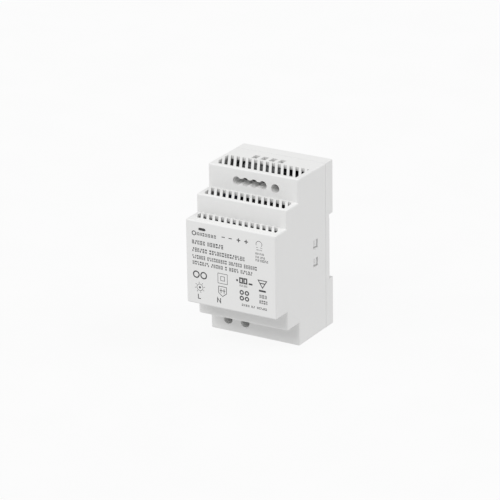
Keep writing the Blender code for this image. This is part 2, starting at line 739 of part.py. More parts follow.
def transformer(board):
    """Ferrite core round a bobbin: the middle leg stands on the board, along Y."""
    x, z, back, front = 8.2, 6.4, PART_Y - 1.5, -28.6
    leg, window, depth, yoke = 3.5, 5.9, 3.3, 3.2
    core_half = leg + window + 3.0
    windows = [box((x + a, front + yoke, z - 9), (x + b, back - yoke, z + 9))
               for a, b in ((-leg - window, -leg), (leg, leg + window))]
    body = box((x - core_half, front, z - depth), (x + core_half, back, z + depth))
    core = part("transformer_core", body, ferrite(), holes=windows)
    span = (front + yoke + GAP, back - yoke - GAP)
    bobbin = transformer_bobbin(x, z, span, leg, window, depth)
    winding = transformer_winding(x, z, span, leg, window, depth)
    for piece in (core, bobbin, winding):
        ride_on(piece, board)


def transformer_bobbin(x, z, span, leg, window, depth):
    """A tube round the middle leg, a flange at each end and two rails of pins on the board."""
    front, back = span
    across = leg + window - GAP
    flanges = [box((x - across, a, z - BOBBIN_ALONG), (x + across, b, z + BOBBIN_ALONG))
               for a, b in ((front, front + 1), (back - 1, back))]
    rails = [box((x - across, back - 1, z + side * (BOBBIN_ALONG - 1) - 1),
                 (x + across, PART_Y, z + side * (BOBBIN_ALONG - 1) + 1)) for side in (-1, 1)]
    half_x, half_z = leg + BOBBIN_WALL, depth + BOBBIN_WALL
    tube = box((x - half_x, front, z - half_z), (x + half_x, back, z + half_z))
    bore = box((x - leg - GAP, front - 2, z - depth - GAP), (x + leg + GAP, back + 1, z + depth + GAP))
    return part("transformer_bobbin", tube, dark_plastic(), adds=flanges + rails, holes=[bore])


def transformer_winding(x, z, span, leg, window, depth):
    front, back = span[0] + 1 + GAP, span[1] - 1 - GAP
    across, along = leg + window - GAP - 0.5, BOBBIN_ALONG - 0.8
    outside = box((x - across, front, z - along), (x + across, back, z + along), 1.2)
    half_x, half_z = leg + BOBBIN_WALL + GAP, depth + BOBBIN_WALL + GAP
    bore = box((x - half_x, front - 1, z - half_z), (x + half_x, back + 1, z + half_z))
    return part("transformer_winding", outside, winding_tape(), holes=[bore])


def capacitor(name, x, z, radius, length, board):
    """An electrolytic can with a rolled groove near its base and a rounded rim."""
    profile = [(0, length), (radius - 0.9, length), (radius - 0.3, length - 0.3), (radius, length - 1.0),
               (radius, 2.6), (radius - 0.6, 2.0), (radius, 1.4), (radius, 0.4), (radius - 0.5, 0), (0, 0)]
    can = turned(name, profile, (x, PART_Y, z), (0, -1, 0))
    dress(can, capacitor_sleeve())
    ride_on(can, board)


def power_package(name, x, z, board, finish):
    """A flat three-lead package: moulded body, metal tab with a hole, and leads to the board."""
    low, high = z
    middle = (low + high) / 2
    body = box((x - 5, -16.2, low), (x + 5, -9.4, high - GAP), 0.2)
    tab = box((x - 5, -22.2, high - 1.6), (x + 5, -15.5, high - GAP))
    leads = [box((x + lead - 0.4, -10, middle - 0.25), (x + lead + 0.4, PART_Y, middle + 0.25))
             for lead in (-LEAD_PITCH, 0, LEAD_PITCH)]
    hole = rod((x, PACKAGE_HOLE_Y, low - 1), (x, PACKAGE_HOLE_Y, high + 1), PACKAGE_HOLE, segments=16)
    ride_on(part(name, body, finish, adds=[tab] + leads, holes=[hole]), board)


def heatsink(name, low, high, board, hole_x):
    """An upright plate whose front edge is folded over."""
    thick = high[2] - low[2]
    front, back, fold = low[1], high[1], low[2] + 3 * thick
    outline = [(back, low[2]), (back, high[2]), (front + thick, high[2]), (front + thick, fold),
               (front, fold), (front, low[2])]
    hole = rod((hole_x, PACKAGE_HOLE_Y, low[2] - 1), (hole_x, PACKAGE_HOLE_Y, high[2] + 1), PACKAGE_HOLE,
               segments=16)
    ride_on(part(name, slab([outline], "YZ", low[0], high[0]), aluminium(), holes=[hole]), board)


def clamp_screw(name, x, start_z, length, direction, board):
    profile = [(0, 1.6), (2.0, 1.6), (2.5, 0.9), (2.5, 0), (1.35, 0), (1.35, -length), (0, -length)]
    screw = turned(name, profile, (x, PACKAGE_HOLE_Y, start_z), (0, 0, direction), 16)
    dress(screw, steel())
    ride_on(screw, board)


def primary_switch(board):
    heatsink("primary_heatsink", (-1.5, -30.0, -8.2), (21.0, PART_Y, -6.7), board, 10.0)
    power_package("switching_transistor", 10.0, (-12.8, -8.2), board, dark_plastic())
    clamp_screw("transistor_screw", 10.0, -9.8 - GAP, 5.0, -1, board)


def secondary_rectifier(board):
    """The same arrangement on the output side."""
    heatsink("secondary_heatsink", (1.5, -28.2, 28.0), (20.0, PART_Y, 29.5), board, 10.5)
    power_package("output_rectifier", 10.5, (23.4, 28.0), board, dark_plastic())
    clamp_screw("rectifier_screw", 10.5, 26.4 - GAP, 5.0, -1, board)


def choke(board):
    """Common-mode choke: a closed core with one winding on each leg."""
    x, z, front, back = -8.4, -24.4, -22.4, PART_Y - 0.8
    reach, leg, depth, yoke = 4.2, 1.5, 2.0, 2.6
    window = box((x - reach + leg, front + yoke, z - 5), (x + reach - leg, back - yoke, z + 5))
    outside = box((x - reach - leg, front, z - depth), (x + reach + leg, back, z + depth))
    ride_on(part("choke_core", outside, ferrite(), holes=[window]), board)
    for number, side in enumerate((-1, 1), 1):
        middle = x + side * reach
        coil = rod((middle, front + yoke + GAP, z), (middle, back - yoke - GAP, z), 3.9)
        bore = box((middle - leg - GAP, front - 1, z - depth - GAP),
                   (middle + leg + GAP, back + 1, z + depth + GAP))
        ride_on(part(f"choke_winding_{number}", coil, copper(), holes=[bore]), board)


def small_components(board):
    boxes = (
        ("x_capacitor", (0.5, -18.7, -26.6), (13.5, PART_Y, -20.6), film_box()),
        ("bridge_rectifier", (-1.0, -18.4, -18.0), (14.0, PART_Y - 2.4, -14.6), dark_plastic()),
        ("optocoupler", (-10.9, -10.2, 12.7), (-5.9, PART_Y, 17.3), dark_plastic()),
        ("controller_chip", (-10.2, -8.3, 2.5), (-6.2, PART_Y, 7.5), dark_plastic()),
    )
    for name, low, high, finish in boxes:
        ride_on(part(name, box(low, high, 0.4), finish), board)
    discs = (
        ("y_capacitor", (-17.5, -11.4, 0.8), (-17.5, -11.4, 4.6), 4.0, ceramic_blue()),
        ("inrush_thermistor", (13.6, -12.0, -33.5), (13.6, -12.0, -29.6), 4.4, thermistor_green()),
        ("fuse", (4.8, -14.8, -33.5), (4.8, PART_Y, -33.5), 4.2, dark_plastic()),
        ("output_inductor", (-5.6, -18.8, 26.4), (-5.6, PART_Y, 26.4), 4.5, ferrite()),
    )
    for name, start, end, radius, finish in discs:
        ride_on(part(name, rod(start, end, radius), finish), board)


def capacitors(board):
    capacitor("bulk_capacitor", -12.2, -9.6, 9.0, 31.5, board)
    capacitor("output_capacitor_1", -16.6, 26.6, 5.0, 20.0, board)
    capacitor("output_capacitor_2", -16.6, 12.2, 5.0, 20.0, board)


def main():
    start_scene()
    front_housing()
    base = rear_base()
    din_latch(base)
    latch_spring(base)
    board = main_circuit_board()
    board_screws(board)
    terminals(board)
    trimmer(board)
    indicator(board)
    transformer(board)
    capacitors(board)
    primary_switch(board)
    secondary_rectifier(board)
    choke(board)
    small_components(board)


main()
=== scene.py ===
"""The looks of the DIN rail power supply, built round its CAD frame.

Adds materials, fine edges, printed marks, a lip inside the seam, a wound latch spring, light and camera.
Places are in the row frame: X across the width, the front at -Y, Z up. Lengths are millimetres, scaled by MM.
"""

import json
import math
import random

import bmesh
import bpy
from mathutils import Matrix, Vector


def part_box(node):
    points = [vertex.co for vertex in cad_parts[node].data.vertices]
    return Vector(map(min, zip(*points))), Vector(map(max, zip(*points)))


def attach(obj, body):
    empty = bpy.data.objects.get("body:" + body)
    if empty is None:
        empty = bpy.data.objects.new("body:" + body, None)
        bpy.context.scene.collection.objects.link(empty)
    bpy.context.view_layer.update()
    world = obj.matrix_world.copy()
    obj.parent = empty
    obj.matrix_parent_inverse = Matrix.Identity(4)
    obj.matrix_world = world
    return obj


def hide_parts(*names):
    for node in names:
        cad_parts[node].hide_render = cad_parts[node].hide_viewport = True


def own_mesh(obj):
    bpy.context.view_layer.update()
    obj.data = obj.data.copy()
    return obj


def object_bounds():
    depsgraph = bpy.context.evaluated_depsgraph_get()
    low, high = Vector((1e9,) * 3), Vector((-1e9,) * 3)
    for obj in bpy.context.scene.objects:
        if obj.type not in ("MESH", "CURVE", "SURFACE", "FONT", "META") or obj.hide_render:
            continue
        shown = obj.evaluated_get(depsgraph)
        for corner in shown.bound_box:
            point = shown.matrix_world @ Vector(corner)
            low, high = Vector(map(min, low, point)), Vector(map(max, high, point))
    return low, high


MM = 0.001
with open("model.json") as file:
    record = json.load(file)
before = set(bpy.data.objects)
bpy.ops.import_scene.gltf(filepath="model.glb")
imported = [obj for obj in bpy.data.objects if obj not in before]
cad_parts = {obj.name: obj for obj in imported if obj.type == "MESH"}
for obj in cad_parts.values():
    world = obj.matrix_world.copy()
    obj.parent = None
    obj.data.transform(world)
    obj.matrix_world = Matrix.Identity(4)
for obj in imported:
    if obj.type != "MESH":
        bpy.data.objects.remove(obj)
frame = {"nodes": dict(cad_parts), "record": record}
CAD_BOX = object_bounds()
NODES = frame["nodes"]


# ---------------------------------------------------------------- material nodes

FLAT_POINTINESS = 0.505  # pointiness at which a surface starts to count as an edge
WAVE_PERIOD = math.tau / 20  # of the wave texture along an axis, at scale 1


def rgba(color, gain=1.0):
    return tuple(min(1.0, c * gain) for c in color) + (1.0,)


class Shader:
    """A material's node tree, with short calls to add and join nodes."""

    def __init__(self, name):
        self.material = bpy.data.materials.new(name)
        self.material.use_nodes = True
        self.tree = self.material.node_tree
        self.tree.nodes.clear()
        self.out = self.add("ShaderNodeOutputMaterial")
        self.place = self.add("ShaderNodeTexCoord").outputs["Object"]

    def add(self, kind, settings=None, **inputs):
        """A new node; an underscore in the name of an input stands for a space."""
        node = self.tree.nodes.new(kind)
        for key, value in (settings or {}).items():
            setattr(node, key, value)
        for key, value in inputs.items():
            self.feed(node, key.replace("_", " "), value)
        return node

    def feed(self, node, key, value):
        """Sets an input, found by name or number, to a value or to another node's output."""
        socket = node.inputs[key]
        if isinstance(value, bpy.types.NodeSocket):
            self.tree.links.new(value, socket)
        else:
            socket.default_value = value

    def noise(self, size_mm, detail=3.0, roughness=0.5, packed=None):
        """Noise with features of about this size, packed closer by these factors along X, Y and Z."""
        place = self.place
        if packed:
            place = self.add("ShaderNodeMapping", Vector=place, Scale=packed).outputs[0]
        node = self.add("ShaderNodeTexNoise", Vector=place, Scale=1000 / size_mm, Detail=detail,
                        Roughness=roughness)
        return node.outputs["Fac"]

    def cells(self, size_mm):
        """Round cells of about this size: 0 in the middle of each, rising towards its rim."""
        node = self.add("ShaderNodeTexVoronoi", Vector=self.place, Scale=1000 / size_mm)
        return node.outputs["Distance"]

    def ramp(self, factor, start, end, top=1.0):
        """A grey that rises from 0 at start to top at end."""
        node = self.add("ShaderNodeValToRGB", Fac=factor)
        for point, at, grey in zip(node.color_ramp.elements, (start, end), (0.0, top)):
            point.position = at
            point.color = (grey, grey, grey, 1)
        return node.outputs["Color"]

    def edges(self, full):
        """1 along outside edges of this pointiness or more, 0 on flat faces."""
        pointiness = self.add("ShaderNodeNewGeometry").outputs["Pointiness"]
        return self.ramp(pointiness, FLAT_POINTINESS, full)

    def span(self, factor, low, high):
        """The factor, from 0 to 1, spread from low to high."""
        node = self.add("ShaderNodeMapRange", Value=factor)
        self.feed(node, "To Min", low)
        self.feed(node, "To Max", high)
        return node.outputs["Result"]

    def math(self, operation, a, b):
        node = self.add("ShaderNodeMath", {"operation": operation})
        self.feed(node, 0, a)
        self.feed(node, 1, b)
        return node.outputs[0]

    def mix(self, factor, a, b):
        return self.add("ShaderNodeMixRGB", Fac=factor, Color1=a, Color2=b).outputs["Color"]

    def tones(self, mask, color, dark, light):
        """The colour at gain dark where the mask is 0, and at gain light where it is 1."""
        return self.mix(mask, rgba(color, dark), rgba(color, light))

    def over(self, base, color, mask, share):
        """The colour laid over the base where the mask is 1, at this share of full cover."""
        return self.mix(self.math("MULTIPLY", mask, share), base, color)

    def bump(self, height, strength, depth_mm):
        node = self.add("ShaderNodeBump", Height=height, Strength=strength, Distance=depth_mm * MM)
        return node.outputs["Normal"]

    def either(self, choice, first, second):
        """The first surface where the choice is 0, the second where it is 1."""
        node = self.add("ShaderNodeMixShader", Fac=choice)
        self.feed(node, 1, first)
        self.feed(node, 2, second)
        return node.outputs[0]

    def finish(self, **inputs):
        surface = self.add("ShaderNodeBsdfPrincipled", **inputs)
        self.feed(self.out, "Surface", surface.outputs[0])
        return self.material


def moulded(name, color, roughness, grain_mm, grain, mottle):
    """Injection-moulded plastic: spark-eroded grain, faint flow clouds, a painted highlight that lightens
    outside edges, and fine scuffs.
    """
    s = Shader(name)
    clouds = s.noise(9.0, detail=4.0, roughness=0.6, packed=(1, 1, 0.7))
    base = s.tones(clouds, color, dark=1 - mottle, light=1 + mottle)
    # painted highlight: outside edges are made lighter, as if they caught the light
    base = s.over(base, rgba(color, 1.06), s.edges(full=0.56), share=0.35)
    pits = s.noise(grain_mm, detail=2.0, roughness=0.6)
    specks = s.cells(1.7 * grain_mm)
    height = s.math("ADD", pits, s.math("MULTIPLY", specks, 0.5))
    scuffs = s.noise(1.1, detail=5.0, roughness=0.7, packed=(1, 1, 6))
    gloss = s.span(s.math("MULTIPLY", scuffs, clouds), roughness - 0.09, roughness + 0.14)
    return s.finish(Base_Color=base, Roughness=gloss, Normal=s.bump(height, grain, depth_mm=0.02))


def plated(name, color, roughness, brushed, metallic):
    """Plated or anodised metal: drawn lines, a clouded film and dull spots."""
    s = Shader(name)
    film = s.noise(1.6, detail=4.0, roughness=0.6)
    base = s.tones(film, color, dark=0.88, light=1.072)
    lines = s.noise(0.18, roughness=0.6, packed=brushed)
    spots = s.ramp(s.noise(0.5, detail=2.0), 0.62, 0.74)
    base = s.over(base, rgba(color, 0.45), spots, share=0.25)
    dullness = s.math("ADD", lines, s.math("MULTIPLY", spots, 0.4))
    return s.finish(Base_Color=base, Metallic=metallic, Normal=s.bump(lines, 0.3, depth_mm=0.01),
                    Roughness=s.span(dullness, roughness - 0.08, roughness + 0.22))


def laminate(name, color):
    """Solder mask over glass weave, with the darker run of copper under it."""
    s = Shader(name)
    weave = s.add("ShaderNodeTexWave", {"wave_type": "BANDS", "bands_direction": "DIAGONAL"},
                  Vector=s.place, Scale=900.0, Distortion=0.6).outputs["Fac"]
    board_plane = s.add("ShaderNodeMapping", Vector=s.place, Rotation=(math.pi / 2, 0, 0)).outputs[0]
    copper = s.add("ShaderNodeTexBrick", {"offset": 0.37, "squash": 1.6}, Vector=board_plane, Scale=120.0,
                   Color1=rgba(color), Color2=rgba(color, 1.35), Mortar=rgba(color, 0.55)).outputs["Color"]
    base = s.mix(s.span(weave, 0.0, 0.25), copper, rgba(color, 1.6))
    return s.finish(Base_Color=base, Roughness=s.span(s.noise(2.0), 0.25, 0.45),
                    Normal=s.bump(weave, 0.15, depth_mm=0.01), Coat_Weight=0.4)


def sintered(name, color):
    """Pressed ferrite: grainy, faintly glittering, with a painted highlight that lightens its edges."""
    s = Shader(name)
    grains = s.cells(0.22)
    base = s.tones(s.ramp(grains, 0.1, 0.7), color, dark=0.8, light=1.5)
    # painted highlight: the edges are made much lighter, as if they caught the light
    base = s.over(base, rgba(color, 2.4), s.edges(full=0.58), share=0.5)
    return s.finish(Base_Color=base, Roughness=s.span(s.noise(0.6), 0.45, 0.75), Metallic=0.2,
                    Normal=s.bump(grains, 0.5, depth_mm=0.03))


def wound(name, color, turn_mm, metallic, roughness):
    """Layers of wire or tape: turns of this width side by side round a coil, with painted shade between the
    turns.
    """
    s = Shader(name)
    turns = s.add("ShaderNodeTexWave",
                  {"wave_type": "BANDS", "bands_direction": "Y", "wave_profile": "SIN"}, Vector=s.place,
                  Scale=1000 * WAVE_PERIOD / turn_mm, Distortion=0.4, Detail=1.0).outputs["Fac"]
    # painted shade in the grooves between the turns and painted highlight on their crowns
    base = s.tones(turns, color, dark=0.55, light=1.15)
    base = s.over(base, rgba(color, 0.7), s.noise(3.0), share=0.3)
    return s.finish(Base_Color=base, Metallic=metallic, Normal=s.bump(turns, 0.6, depth_mm=0.08),
                    Roughness=s.span(s.noise(0.8), roughness - 0.05, roughness + 0.15))


def sleeve(name, color, pale):
    """Shrunk film over an aluminium can, slightly wrinkled, with paler wear."""
    s = Shader(name)
    wrinkles = s.noise(1.4, detail=4.0, roughness=0.65, packed=(1, 4, 1))
    base = s.tones(s.noise(6.0), color, dark=0.85, light=1.25)
    base = s.mix(s.ramp(wrinkles, 0.60, 0.68, top=0.5), base, rgba(pale))
    return s.finish(Base_Color=base, Roughness=s.span(wrinkles, 0.2, 0.4),
                    Normal=s.bump(wrinkles, 0.3, depth_mm=0.05), Coat_Weight=0.3)


def dipped(name, color):
    """A dip-coated lacquer body: uneven gloss and a slightly orange-peeled surface."""
    s = Shader(name)
    peel = s.noise(0.7, roughness=0.6)
    base = s.tones(s.noise(2.6), color, dark=0.8, light=1.3)
    return s.finish(Base_Color=base, Roughness=s.span(peel, 0.18, 0.4),
                    Normal=s.bump(peel, 0.35, depth_mm=0.05), Coat_Weight=0.5)


def light_pipe(name, color):
    """Smoky clear plastic, unlit, with mould swirls."""
    s = Shader(name)
    swirl = s.noise(1.2, detail=4.0, roughness=0.6, packed=(1, 0.3, 1))
    return s.finish(Base_Color=s.tones(swirl, color, dark=0.7, light=1.3), Roughness=s.span(swirl, 0.06, 0.2),
                    Normal=s.bump(swirl, 0.2, depth_mm=0.05), Coat_Weight=0.6)


def printed(name, color):
    """Pad-printed ink: slightly uneven coverage and a soft sheen over the plastic's grain."""
    s = Shader(name)
    cover = s.noise(0.35, roughness=0.6)
    return s.finish(Base_Color=s.tones(cover, color, dark=0.8, light=1.5), Roughness=s.span(cover, 0.4, 0.6),
                    Normal=s.bump(s.noise(0.16), 0.2, depth_mm=0.02))


# Name, colour, roughness, grain size in millimetres, grain strength, mottle
MOULDED = (
    ("housing_plastic", (0.84, 0.84, 0.835), 0.48, 0.16, 0.25, 0.02),
    ("base_plastic", (0.845, 0.845, 0.84), 0.5, 0.16, 0.25, 0.02),
    ("latch_plastic", (0.045, 0.045, 0.05), 0.42, 0.2, 0.3, 0.15),
    ("terminal_plastic", (0.12, 0.125, 0.13), 0.5, 0.2, 0.3, 0.1),
    ("trimmer_plastic", (0.03, 0.032, 0.035), 0.4, 0.2, 0.2, 0.1),
    ("rotor_plastic", (0.72, 0.71, 0.66), 0.4, 0.12, 0.2, 0.04),
    ("led_body", (0.78, 0.77, 0.72), 0.3, 0.12, 0.1, 0.03),
    ("black_moulding", (0.022, 0.022, 0.025), 0.42, 0.12, 0.4, 0.25),
    ("film_box", (0.62, 0.44, 0.07), 0.4, 0.2, 0.25, 0.08),
)
# Name, colour, roughness, packing of the drawn lines along X, Y and Z, metallic share
PLATED = (
    ("heatsink_aluminium", (0.03, 0.03, 0.033), 0.4, (1, 1, 14), 0.3),
    ("screw_steel", (0.66, 0.66, 0.68), 0.25, (1, 1, 1), 1.0),
    ("clamp_steel", (0.68, 0.68, 0.69), 0.3, (1, 10, 1), 1.0),
    ("spring_steel", (0.55, 0.55, 0.57), 0.22, (1, 1, 1), 1.0),
    ("tinned_brass", (0.74, 0.70, 0.58), 0.32, (1, 1, 8), 1.0),
)
# Name, colour, width of a turn in millimetres, metallic share, roughness
WOUND = (
    ("winding_tape", (0.72, 0.50, 0.06), 2.1712, 0.0, 0.3),
    ("copper_wire", (0.66, 0.26, 0.10), 1.3817, 0.8, 0.25),
)
# Name, colour
DIPPED = (
    ("ceramic_blue", (0.05, 0.15, 0.42)),
    ("thermistor_green", (0.03, 0.16, 0.07)),
)
RECIPES = (
    (moulded, MOULDED),
    (plated, PLATED),
    (wound, WOUND),
    (dipped, DIPPED),
    (light_pipe, (("clear_plastic", (0.022, 0.023, 0.024)),)),
    (laminate, (("board_laminate", (0.02, 0.11, 0.05)),)),
    (sintered, (("ferrite", (0.05, 0.05, 0.055)),)),
    (sleeve, (("capacitor_sleeve", (0.03, 0.04, 0.085), (0.45, 0.46, 0.48)),)),
    (printed, (("ink", (0.055, 0.055, 0.058)),)),
)
MATERIALS = {row[0]: recipe(*row) for recipe, rows in RECIPES for row in rows}


# ---------------------------------------------------------------- edges and finishes of the CAD nodes

SHARP_ANGLE = math.radians(46)  # edges that bend more stay sharp in the shading
ROUNDED_ANGLE = math.radians(32)  # edges that bend more get a bevel
FLAT_ANGLE = math.radians(0.6)  # faces that bend less are joined first
WELD_GAP = 0.002
EDGE_SEGMENTS = 2
NORMAL_WEIGHT = 80

EDGE_WIDTH = {"front_housing": 0.16, "rear_base": 0.08, "din_latch": 0.15}
DEFAULT_EDGE = 0.1
NO_EDGE = {"latch_spring"}


def smoothing(angle):
    """A modifier group that shades smooth across every edge that bends less than the angle."""
    group = bpy.data.node_groups.new("smooth_by_angle", "GeometryNodeTree")
    for way in ("INPUT", "OUTPUT"):
        group.interface.new_socket("Geometry", in_out=way, socket_type="NodeSocketGeometry")
    start = group.nodes.new("NodeGroupInput")
    end = group.nodes.new("NodeGroupOutput")
    faces = group.nodes.new("GeometryNodeSetShadeSmooth")
    faces.domain = "FACE"
    sharp = group.nodes.new("GeometryNodeSetShadeSmooth")
    sharp.domain = "EDGE"
    sharp.inputs["Shade Smooth"].default_value = False
    bend = group.nodes.new("GeometryNodeInputMeshEdgeAngle")
    past = group.nodes.new("FunctionNodeCompare")  # its first two inputs are the pair of plain numbers
    past.operation = "GREATER_THAN"
    past.inputs[1].default_value = angle
    for output, socket in (
            (start.outputs[0], faces.inputs["Geometry"]), (faces.outputs[0], sharp.inputs["Geometry"]),
            (bend.outputs["Unsigned Angle"], past.inputs[0]), (past.outputs[0], sharp.inputs["Selection"]),
            (sharp.outputs[0], end.inputs[0])):
        group.links.new(output, socket)
    return group


SMOOTHING = smoothing(SHARP_ANGLE)


def soften(node, width_mm):
    """Breaks the sharp edges of a piece with modifiers; its own mesh stays as it is."""
    weld = node.modifiers.new("weld", "WELD")
    weld.merge_threshold = WELD_GAP * MM
    flat = node.modifiers.new("flat", "DECIMATE")
    flat.decimate_type = "DISSOLVE"
    flat.angle_limit = FLAT_ANGLE
    bevel = node.modifiers.new("edge", "BEVEL")
    bevel.width = width_mm * MM
    bevel.segments = EDGE_SEGMENTS
    bevel.limit_method = "ANGLE"
    bevel.angle_limit = ROUNDED_ANGLE
    bevel.use_clamp_overlap = True
    node.modifiers.new("smooth", "NODES").node_group = SMOOTHING
    normals = node.modifiers.new("normals", "WEIGHTED_NORMAL")
    normals.keep_sharp = True
    normals.weight = NORMAL_WEIGHT


def finish_nodes():
    """Gives every CAD node its material and its fine edges."""
    for part in frame["record"]["subparts"]:
        name = part["node"]
        cad = NODES[name]
        cad.data.materials.clear()
        cad.data.materials.append(MATERIALS[part["material_slot"]])
        if name not in NO_EDGE:
            soften(cad, EDGE_WIDTH.get(name, DEFAULT_EDGE))


finish_nodes()


# ---------------------------------------------------------------- new pieces

def add_object(name, data):
    obj = bpy.data.objects.new(name, data)
    bpy.context.scene.collection.objects.link(obj)
    return obj


def add_piece(name, bm, material):
    """Puts a finished bmesh in the scene as an object of this material."""
    mesh = bpy.data.meshes.new(name)
    bm.to_mesh(mesh)
    bm.free()
    mesh.materials.append(material)
    return add_object(name, mesh)


# ---------------------------------------------------------------- printed marks on the front

MID_Z = 1.4  # the marks are placed from the housing's mid-height
FACE_Y = CAD_BOX[0].y / MM
INK_DEPTH = 0.03
INK_PROUD = 0.012
SHARPEST_MITRE = 0.4  # least cosine by which a corner of a stroke is widened
DISC_STEPS = 20


class Print:
    """Flat closed slabs of ink on the front face, gathered in one mesh."""

    def __init__(self):
        self.bm = bmesh.new()

    def polygon(self, points):
        """A closed slab from an outline in X and Z, drawn anticlockwise seen from the front."""
        rings = []
        for y in (FACE_Y - INK_PROUD, FACE_Y - INK_PROUD + INK_DEPTH):
            rings.append([self.bm.verts.new(Vector((x, y, MID_Z + z)) * MM) for x, z in points])
        front, back = rings
        self.bm.faces.new(front)
        self.bm.faces.new(back[::-1])
        count = len(points)
        for i in range(count):
            j = (i + 1) % count
            self.bm.faces.new((front[j], front[i], back[i], back[j]))

    def bar(self, x0, z0, x1, z1):
        self.polygon([(x0, z0), (x1, z0), (x1, z1), (x0, z1)])

    def stroke(self, points, width, closed=False):
        """A line of even width through the points, mitred at its corners."""
        path = [Vector(p) for p in points]
        count = len(path)
        sides = ([], [])
        for i, here in enumerate(path):
            before = path[i - 1] if closed or i else None
            after = path[(i + 1) % count] if closed or i + 1 < count else None
            ahead = (after - here).normalized() if after is not None else (here - before).normalized()
            behind = (here - before).normalized() if before is not None else ahead
            along = (ahead + behind).normalized()
            across = Vector((-along.y, along.x)) * (width / 2 / max(SHARPEST_MITRE, along.dot(ahead)))
            sides[0].append(here + across)
            sides[1].append(here - across)
        pieces = range(count) if closed else range(count - 1)
        for i in pieces:
            j = (i + 1) % count
            self.polygon([sides[1][i], sides[1][j], sides[0][j], sides[0][i]])

    def ring(self, x, z, radius, width, steps=28, start=0.0, end=360.0):
        """A round line from start to end, in degrees; steps is the count for a whole turn."""
        closed = end - start >= 360
        count = max(3, round(steps * (end - start) / 360))
        angles = [math.radians(start + (end - start) * i / count) for i in range(count + (not closed))]
        self.stroke([(x + radius * math.cos(a), z + radius * math.sin(a)) for a in angles], width, closed)

    def disc(self, x, z, radius):
        angles = [2 * math.pi * i / DISC_STEPS for i in range(DISC_STEPS)]
        self.polygon([(x + radius * math.cos(a), z + radius * math.sin(a)) for a in angles])

    def rectangle(self, x, z, wide, high, width):
        """The outline of a rectangle round its middle."""
        half_x, half_z = wide / 2, high / 2
        self.stroke([(x - half_x, z - half_z), (x + half_x, z - half_z), (x + half_x, z + half_z),
                     (x - half_x, z + half_z)], width, closed=True)


# Each filler mark is a set of bars in a unit cell: it stands for a printed character without being one.
FILLERS = (
    ((0, 0, 1, 0.24), (0, 0.38, 1, 0.62), (0, 0.76, 1, 1)),
    ((0, 0, 0.34, 1), (0.62, 0, 1, 1)),
    ((0, 0.56, 0.56, 1), (0.44, 0, 1, 0.44)),
    ((0, 0, 0.56, 0.44), (0.44, 0.56, 1, 1)),
    ((0, 0, 1, 0.36), (0, 0.64, 1, 1)),
    ((0, 0, 0.36, 1), (0.6, 0, 1, 0.42), (0.6, 0.6, 1, 1)),
    ((0, 0, 0.4, 0.42), (0, 0.6, 0.4, 1), (0.64, 0, 1, 1)),
    ((0, 0.64, 1, 1), (0, 0, 0.38, 0.42), (0.62, 0, 1, 0.42)),
)
FILLER_SEED = 7
WORD_GAP = 0.7  # in pitches of a mark
MARK_SHARE = 0.7  # how much of its pitch a filler mark fills

# Start X, end X, middle Z, height and word lengths of each line of filler; the last four label the dial
FILLER_LINES = (
    (-19.6, -7.9, 15.65, 1.7, (7,)),
    (-22.5, -3.8, 10.95, 2.2, (5, 6)),
    (-22.4, 8.5, 6.85, 2.2, (6, 14)),
    (-22.4, 15.5, 3.05, 2.0, (6, 9, 6, 6)),
    (-22.4, 12.9, -0.2, 2.0, (7, 5, 1, 4, 5)),
    (6.1, 21.0, -17.9, 1.15, (4, 2, 5)),
    (16.55, 21.05, -11.3, 1.8, (3,)),
    (16.45, 21.35, -14.3, 1.85, (4,)),
    (5.0, 9.6, -7.65, 1.0, (4, 4)),
    (15.1, 18.4, 13.3, 0.5, (3, 3)),
    (14.5, 19.5, 11.3, 1.0, (3, 4)),
    (14.5, 20.1, 9.45, 1.1, (3, 4)),
    (14.5, 21.9, 7.75, 1.25, (3, 6)),
)


def filler_line(ink, start_x, end_x, middle_z, height, words, dice):
    """A line of filler marks in words of the given lengths, spread from start_x to end_x."""
    pitch = (end_x - start_x) / (sum(words) + WORD_GAP * (len(words) - 1))
    width = pitch * MARK_SHARE
    low = middle_z - height / 2
    x = start_x
    last = None
    for word in words:
        for _ in range(word):
            last = dice.choice([shape for shape in FILLERS if shape is not last])
            for x0, z0, x1, z1 in last:
                ink.bar(x + x0 * width, low + z0 * height, x + x1 * width, low + z1 * height)
            x += pitch
        x += WORD_GAP * pitch


# Left X, low Z, right X and high Z of each plain bar
BARS = (
    (-5.05, 16.22, -3.15, 16.68), (-1.0, 16.22, 0.9, 16.68),  # minus signs
    (3.7, 16.16, 4.48, 16.7), (5.02, 16.16, 5.8, 16.7), (4.48, 15.35, 5.02, 17.5),  # plus sign
    (8.15, 16.16, 8.93, 16.7), (9.47, 16.16, 10.25, 16.7), (8.93, 15.35, 9.47, 17.5),  # plus sign
    (14.9, 14.5, 16.1, 14.7), (17.2, 14.5, 18.4, 14.7),  # ends of the dial arc
    (-6.12, -14.0, -5.78, -11.4), (-4.32, -14.0, -3.98, -11.4),  # upright, on the shield
    (-6.65, -12.77, -3.45, -12.43),  # level, on the shield
    (3.1, -5.7, 4.1, -4.6), (10.3, -6.4, 12.5, -5.5),  # beside the two blocks
    (17.1, -4.55, 19.5, -4.0), (16.2, -8.85, 20.2, -7.85),  # in the triangle and under it
)
# Middle X and Z, radius, line width and steps of each whole ring
RINGS = (
    (-21.3, 15.7, 1.05, 0.48, 28),
    (-20.4, -6.45, 1.65, 0.66, 28), (-16.05, -6.45, 1.65, 0.66, 28),
    (-18.4, -13.2, 1.75, 0.24, 28),
    (6.2, -11.25, 0.95, 0.66, 16), (6.2, -14.4, 0.95, 0.66, 16),
    (9.2, -11.25, 0.95, 0.66, 16), (9.2, -14.4, 0.95, 0.66, 16),
)
# Middle X and Z, width, height and line width of each rectangle: the double square, then the two blocks
RECTANGLES = (
    (-4.9, -6.05, 5.5, 5.335, 0.26), (-4.9, -6.05, 2.3, 2.231, 0.26),
    (5.95, -4.9, 1.55, 2.5, 0.72), (8.4, -4.9, 1.55, 2.5, 0.72),
)
